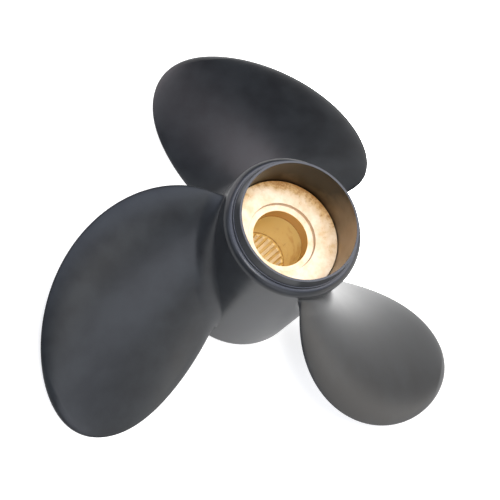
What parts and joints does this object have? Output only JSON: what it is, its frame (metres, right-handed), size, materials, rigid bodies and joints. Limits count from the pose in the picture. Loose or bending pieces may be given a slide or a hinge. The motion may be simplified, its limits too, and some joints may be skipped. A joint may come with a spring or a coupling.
{
  "type": "boat propeller",
  "caption": "Left-hand boat propeller with a hollow cylindrical hub, broad swept-back raked blades and a splined bronze core that sits in a rubber cushion.",
  "frame": {"origin": "on the shaft axis, in the plane where the pilot bore begins, which is the floor of the shallow recess in the bronze flange", "axes": "+Z along the shaft axis, forward, out of the open front of the hub; +X along the centre line of blade_1 at its root"},
  "size_m": [0.3171, 0.3184, 0.1357],
  "materials": {
    "casting": "satin dark grey coating",
    "rubber": "matte",
    "bronze": "turned, lightly tarnished"
  },
  "bodies": {
    "core": {"bronze_core": "bronze"},
    "casting": {"hub_barrel": "casting", "blade_1": "casting", "blade_2": "casting", "blade_3": "casting", "rubber_cushion": "rubber"}
  },
  "joints": [
    {"name": "cushion_twist", "type": "hinge", "parent": "core", "child": "casting", "pos_m": [0, 0, -0.045], "axis": [0, 0, 1], "range_deg": [-8, 8], "stiffness_Nm_per_rad": 1400}
  ]
}
